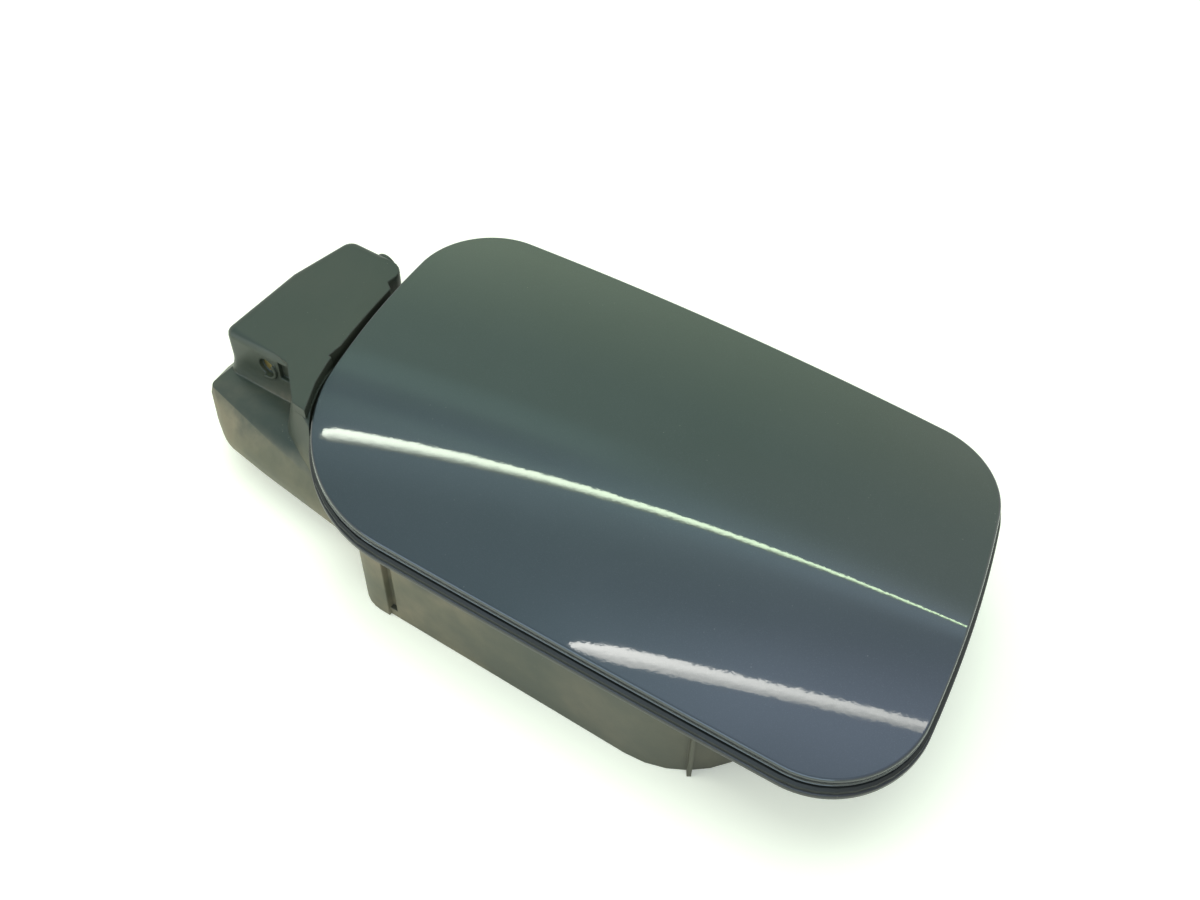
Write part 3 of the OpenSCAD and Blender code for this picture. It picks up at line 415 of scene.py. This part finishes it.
def mesh_object(name, verts, faces, finish, normals=None):
    data = bpy.data.meshes.new(name)
    data.from_pydata([tuple(c / 1000 for c in v) for v in verts], [], faces)
    data.update()
    for p in data.polygons:
        p.use_smooth = True
    if normals:
        data.normals_split_custom_set_from_vertices([tuple(n) for n in normals])
    data.materials.append(finish)
    obj = bpy.data.objects.new(name, data)
    scene.collection.objects.link(obj)
    return obj


# Quads between closed rings of n points each; loop joins the last ring to the first
def ring_faces(count, n, first=0, loop=False):
    faces = []
    for i in range(count if loop else count - 1):
        a, b = first + i * n, first + (i + 1) % count * n
        for j in range(n):
            k = (j + 1) % n
            faces.append((a + j, b + j, b + k, a + k))
    return faces


# Painted skin: fine crowned sheet, rolled edge, turned edge and hem. A ring lies d inside the
# outline and drop below the face, and its normals are tilted outwards from the face's own.
def build_skin():
    edge = door_outline()
    n = len(edge)
    mid = (-8.2, 1.8)
    skin_t = 0.8
    roll_r = 0.75
    return_h, lean = 2.7, 0.10
    bead_from, bead, bead_h = 1.85, 0.22, 0.35
    hem_w, hem_r = 6.0, skin_t / 2
    hem_in = lean * (bead_from - roll_r)
    dome_edge, dome_rings = 4.0, 30
    level, outwards, downwards = 0.0, math.radians(90), math.radians(180)
    rings = []

    def ring(d, drop, tilt, t=1.0):
        pts, nor = [], []
        for x, y, nx, ny in edge:
            px, py = x - nx * d, y - ny * d
            if t < 1.0:
                px, py = mid[0] + (px - mid[0]) * t, mid[1] + (py - mid[1]) * t
            up_n = slope(px, py)
            out = Vector((nx, ny, 0.0))
            out = (out - up_n * out.dot(up_n)).normalized()
            pts.append((px, py, skin_height(px, py) - drop))
            nor.append(up_n * math.cos(tilt) + out * math.sin(tilt))
        rings.append((pts, nor))

    for i in range(1, dome_rings + 1):
        ring(dome_edge, 0.0, level, i / (dome_rings + 1))
    for d in (dome_edge, 3.0, 2.0, 1.3, 0.8):
        ring(d, 0.0, level)
    for k in range(0, 11):
        a = math.radians(9 * k)
        ring(roll_r - roll_r * math.sin(a), roll_r - roll_r * math.cos(a), a)
    # The turned edge leans inwards
    edge_from = len(rings)
    for drop in (0.8, 1.2, 1.6, bead_from):
        ring(lean * (drop - roll_r), drop, outwards + math.atan(lean))
    edge_to = len(rings)
    # Bead of paint round the hem
    for k in range(1, 5):
        a = math.radians(15 * k)
        ring(hem_in - bead * (1 - math.cos(a)) * 2, bead_from + bead_h * math.sin(a), outwards - a * 0.9)
    for k in range(1, 7):
        a = math.radians(15 * k)
        ring(hem_in + hem_r - (hem_r + bead) * math.cos(a), return_h - hem_r + hem_r * math.sin(a),
             outwards + a)
    for d in (1.2, 2.5, 4.5, hem_w):
        ring(d, return_h, downwards)
    # Back over the hem, and the sheet's underside
    ring(hem_w, return_h - skin_t, downwards + outwards)
    ring(1.0, return_h - skin_t, level)
    ring(0.95, skin_t, downwards)
    ring(dome_edge, skin_t, downwards)
    for i in range(dome_rings, 0, -3):
        ring(dome_edge, skin_t, downwards, i / (dome_rings + 1))
    verts = [(mid[0], mid[1], skin_height(*mid))]
    normals = [slope(*mid)]
    for pts, nor in rings:
        verts += pts
        normals += nor
    verts.append((mid[0], mid[1], skin_height(*mid) - skin_t))
    normals.append(-slope(*mid))
    faces = [(0, 1 + j, 1 + (j + 1) % n) for j in range(n)]
    faces += ring_faces(len(rings), n, 1)
    last = 1 + (len(rings) - 1) * n
    faces += [(len(verts) - 1, last + (j + 1) % n, last + j) for j in range(n)]
    obj = mesh_object("painted_skin", verts, faces, paint, normals)
    # The turned edge's faces take the darker copy of the paint: painted shade
    obj.data.materials.append(shaded_edge_paint)
    for i in range(edge_from * n, edge_to * n):
        obj.data.polygons[i].material_index = 1
    return obj


skin = build_skin()
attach(skin, "door")
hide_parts("door_skin")


# Rounded lip of the housing's rim, finer than the solid's: its top and underside as drops below the
# skin's face, how far it stands out past the door and reaches in, and its edge radius
def build_rim_lip():
    edge = door_outline()
    n = len(edge)
    top, low, proud, inner, r = 5.25, 7.05, 1.15, 0.6, 0.42
    rings = [(inner, top)]
    for k in range(0, 7):
        a = math.radians(15 * k)
        rings.append((-(proud - r) - r * math.sin(a), top + r - r * math.cos(a)))
    for k in range(0, 7):
        a = math.radians(15 * k)
        rings.append((-(proud - r) - r * math.cos(a), low - r + r * math.sin(a)))
    rings.append((inner, low))
    verts = []
    for d, drop in rings:
        for x, y, nx, ny in edge:
            px, py = x - nx * d, y - ny * d
            verts.append((px, py, skin_height(px, py) - drop))
    return mesh_object("rim_lip", verts, ring_faces(len(rings), n, loop=True), rim_plastic)


lip = build_rim_lip()
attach(lip, "housing")


# Lamps, world and floor
def area(name, place, size, energy, colour):
    aim = Vector((0, 0, 0.03))
    data = bpy.data.lights.new(name, "AREA")
    data.shape = "RECTANGLE"
    data.size, data.size_y = size
    data.energy = energy
    data.color = colour
    lamp = bpy.data.objects.new(name, data)
    scene.collection.objects.link(lamp)
    lamp.location = place
    lamp.rotation_mode = "QUATERNION"
    lamp.rotation_quaternion = (aim - Vector(place)).to_track_quat("-Z", "Y")
    lamp.visible_glossy = False


# 1 where a ray shows the background: seen directly, mirrored or through something clear
def background_ray(t):
    path = t.add("ShaderNodeLightPath")
    return t.math("MAXIMUM", path.outputs["Is Camera Ray"],
                  t.math("MAXIMUM", path.outputs["Is Glossy Ray"], path.outputs["Is Transmission Ray"]))


# Corners of a level square round the origin, in millimetres
def level_square(half, z):
    return [(-half, -half, z), (half, -half, z), (half, half, z), (-half, half, z)]


def card(name, quad, finish):
    mesh_object(name, quad, [(0, 1, 2, 3)], finish)


# Studio ceiling that the paint mirrors: cool near the camera, pale teal belts, greenish beyond them,
# with a haze round the two lamp strips. Its places are in metres.
def ceiling():
    reach = 4.0
    m, t, glow = material("ceiling", "ShaderNodeEmission")
    axes = t.add("ShaderNodeSeparateXYZ")
    t.link(t.place(), axes.inputs[0])
    x, y = axes.outputs["X"], axes.outputs["Y"]

    def across(nx, ny, offset):
        return t.math("SUBTRACT", t.math("ADD", t.math("MULTIPLY", x, nx), t.math("MULTIPLY", y, ny)), offset)

    def haze(nx, ny, offset, width, amount, start, end):
        off = t.math("ABSOLUTE", across(nx, ny, offset))
        near = t.range(off, 0.0, width, 1.0, 0.0, smooth=True)
        along = t.range(x, start, end, 0.0, amount, smooth=True)
        return t.math("MULTIPLY", near, along)

    # Colours by how far back the place is
    far = t.math("DIVIDE", across(-0.12, 1.0, 0.0), reach)

    def by_far(stops):
        return t.ramp(far, [(at / reach, colour) for at, colour in stops])

    beyond = [(2.35, (0.66, 0.96, 0.68)), (2.70, (0.82, 1.16, 0.76)), (3.30, (1.20, 1.60, 1.02))]
    belts = by_far([
        (0.0, (0.58, 0.78, 0.92)), (1.15, (0.60, 0.83, 0.91)), (1.33, (0.71, 1.03, 1.02)),
        (1.46, (0.52, 0.74, 0.81)), (1.58, (0.62, 0.90, 0.88)), (1.68, (0.87, 1.33, 1.16)),
        (1.80, (0.83, 1.27, 1.07)), (1.92, (0.65, 0.95, 0.71))] + beyond)
    plain = by_far([
        (0.0, (0.71, 1.00, 1.14)), (0.42, (0.71, 1.00, 1.14)), (0.72, (0.60, 0.81, 0.93)),
        (1.15, (0.62, 0.86, 0.92)), (1.32, (0.73, 1.08, 1.14)), (1.60, (0.75, 1.08, 1.04)),
        (1.72, (0.74, 1.04, 0.91)), (1.92, (0.68, 0.94, 0.73))] + beyond)
    tint = t.mix(t.range(x, -1.5, -0.7, smooth=True), belts, plain)
    lift = t.mix(t.range(x, -1.1, 0.1, smooth=True), (1.0, 1.0, 1.0), (1.28, 1.08, 1.20))
    mist = t.math("ADD", haze(-0.287, 0.958, 1.402, 0.45, 0.66, -2.9, -1.5),
                  haze(-0.324, 0.946, 0.450, 0.40, 0.80, -1.1, -0.2))
    path = t.add("ShaderNodeLightPath")
    mirrored = t.mix(1.0, t.mix(1.0, tint, lift, "MULTIPLY"),
                     t.mix(mist, (1.0, 1.0, 1.0), (2.0, 2.0, 2.1)), "MULTIPLY")
    t.link(t.mix(path.outputs["Is Glossy Ray"], (0.52, 0.60, 0.54), mirrored), glow.inputs["Color"])
    card("ceiling", level_square(3500, 2600), m)


# Bright wall behind the camera that the door's rolled edge mirrors as a thin line
def bright_wall():
    half, low, high, y = 2600, 500, 2300, -3300
    m, t, glow = material("bright_wall", "ShaderNodeEmission")
    path = t.add("ShaderNodeLightPath")
    t.link(t.mix(path.outputs["Is Glossy Ray"], (0.5, 0.5, 0.5), (0.72, 0.91, 1.10)), glow.inputs["Color"])
    t.link(t.range(path.outputs["Is Glossy Ray"], 0.0, 1.0, 1.0, 4.5), glow.inputs["Strength"])
    card("bright_wall", [(half, y, low), (-half, y, low), (-half, y, high), (half, y, high)], m)


# Flat strip above the object that the paint mirrors as a bright line: full on its far side and
# dimmer, by near_share, on its near side. Bow bends it back in the middle, colours run along it,
# and taper gives the shares of its length over which its ends grow to full width.
def lamp_strip(name, start, end, bow, widths, strength, colours, near_share, taper):
    a, b = Vector(start), Vector(end)
    side = (b - a).cross(Vector((0, 0, 1))).normalized()
    verts, faces, marks = [], [], []
    steps = 60
    tip = 0.004
    for i in range(steps + 1):
        t = i / steps
        w = widths[0] + (widths[1] - widths[0]) * t
        w *= math.sqrt(min(1.0, (t + tip) / taper[0])) * math.sqrt(min(1.0, (1 + tip - t) / taper[1]))
        p = a.lerp(b, t) + Vector((0, bow * 4 * t * (1 - t), 0))
        for s in (-0.5, 0.5):
            verts.append(tuple(c * 1000 for c in p + side * (w * s)))
            marks.append((s + 0.5, t, 0.0))
        if i:
            k = 2 * i
            faces.append((k - 2, k - 1, k + 1, k))
    m, t, glow = material(name, "ShaderNodeEmission")
    place = t.add("ShaderNodeAttribute", attribute_name="strip_place")
    axes = t.add("ShaderNodeSeparateXYZ")
    t.link(place.outputs["Vector"], axes.inputs[0])
    t.link(t.mix(axes.outputs["Y"], colours[0], colours[1]), glow.inputs["Color"])
    t.link(t.range(axes.outputs["X"], 0.30, 0.95, strength, strength * near_share, smooth=True),
           glow.inputs["Strength"])
    obj = mesh_object(name, verts, faces, m)
    held = obj.data.attributes.new("strip_place", "FLOAT_VECTOR", "POINT")
    for row, mark in zip(held.data, marks):
        row.vector = mark


ceiling()
bright_wall()
lamp_strip("lamp_strip_long", (-1.57, 0.618, 2.0), (0.22, 1.188, 2.0), 0.048, (0.096, 0.024), 22.0,
           ((0.92, 1.0, 0.86), (0.72, 1.0, 0.60)), 0.10, (0.012, 0.004))
lamp_strip("lamp_strip_short", (-0.55, 0.186, 2.0), (0.28, 0.461, 2.0), 0.0, (0.060, 0.028), 18.0,
           ((1.0, 1.0, 0.95), (0.60, 0.60, 0.57)), 0.50, (0.14, 0.004))
area("top", (0.0, -0.1, 2.2), (1.3, 1.3), 20.0, (0.97, 1.0, 0.96))
area("key", (-1.1, -0.9, 0.9), (1.2, 0.9), 9.0, (1.0, 0.99, 0.90))
area("fill", (1.4, -1.2, 0.9), (1.2, 0.9), 8.0, (0.82, 0.93, 1.0))

# White background at strength 1, and half of that as light on the object
world = bpy.data.worlds.new("studio")
scene.world = world
world.use_nodes = True
t = Tree(world.node_tree)
out = t.add("ShaderNodeOutputWorld")
sky = t.add("ShaderNodeBackground")
t.link(sky.outputs[0], out.inputs[0])
t.link(t.range(background_ray(t), 0.0, 1.0, 0.5, 1.0), sky.inputs["Strength"])
sky.inputs["Color"].default_value = (1.0, 1.0, 1.0, 1.0)

# Pale floor, a little brighter where it is seen than where it lights the object
floor_finish, t, both = material("floor", "ShaderNodeAddShader")
matt = t.add("ShaderNodeBsdfDiffuse")
seen = background_ray(t)
t.link(t.mix(seen, (0.86, 0.86, 0.76), (0.92, 0.97, 0.86)), matt.inputs["Color"])
glow = t.add("ShaderNodeEmission")
t.link(t.math("MULTIPLY", seen, 0.22), glow.inputs["Strength"])
t.link(matt.outputs[0], both.inputs[0])
t.link(glow.outputs[0], both.inputs[1])
card("floor", level_square(6000, -0.2), floor_finish)
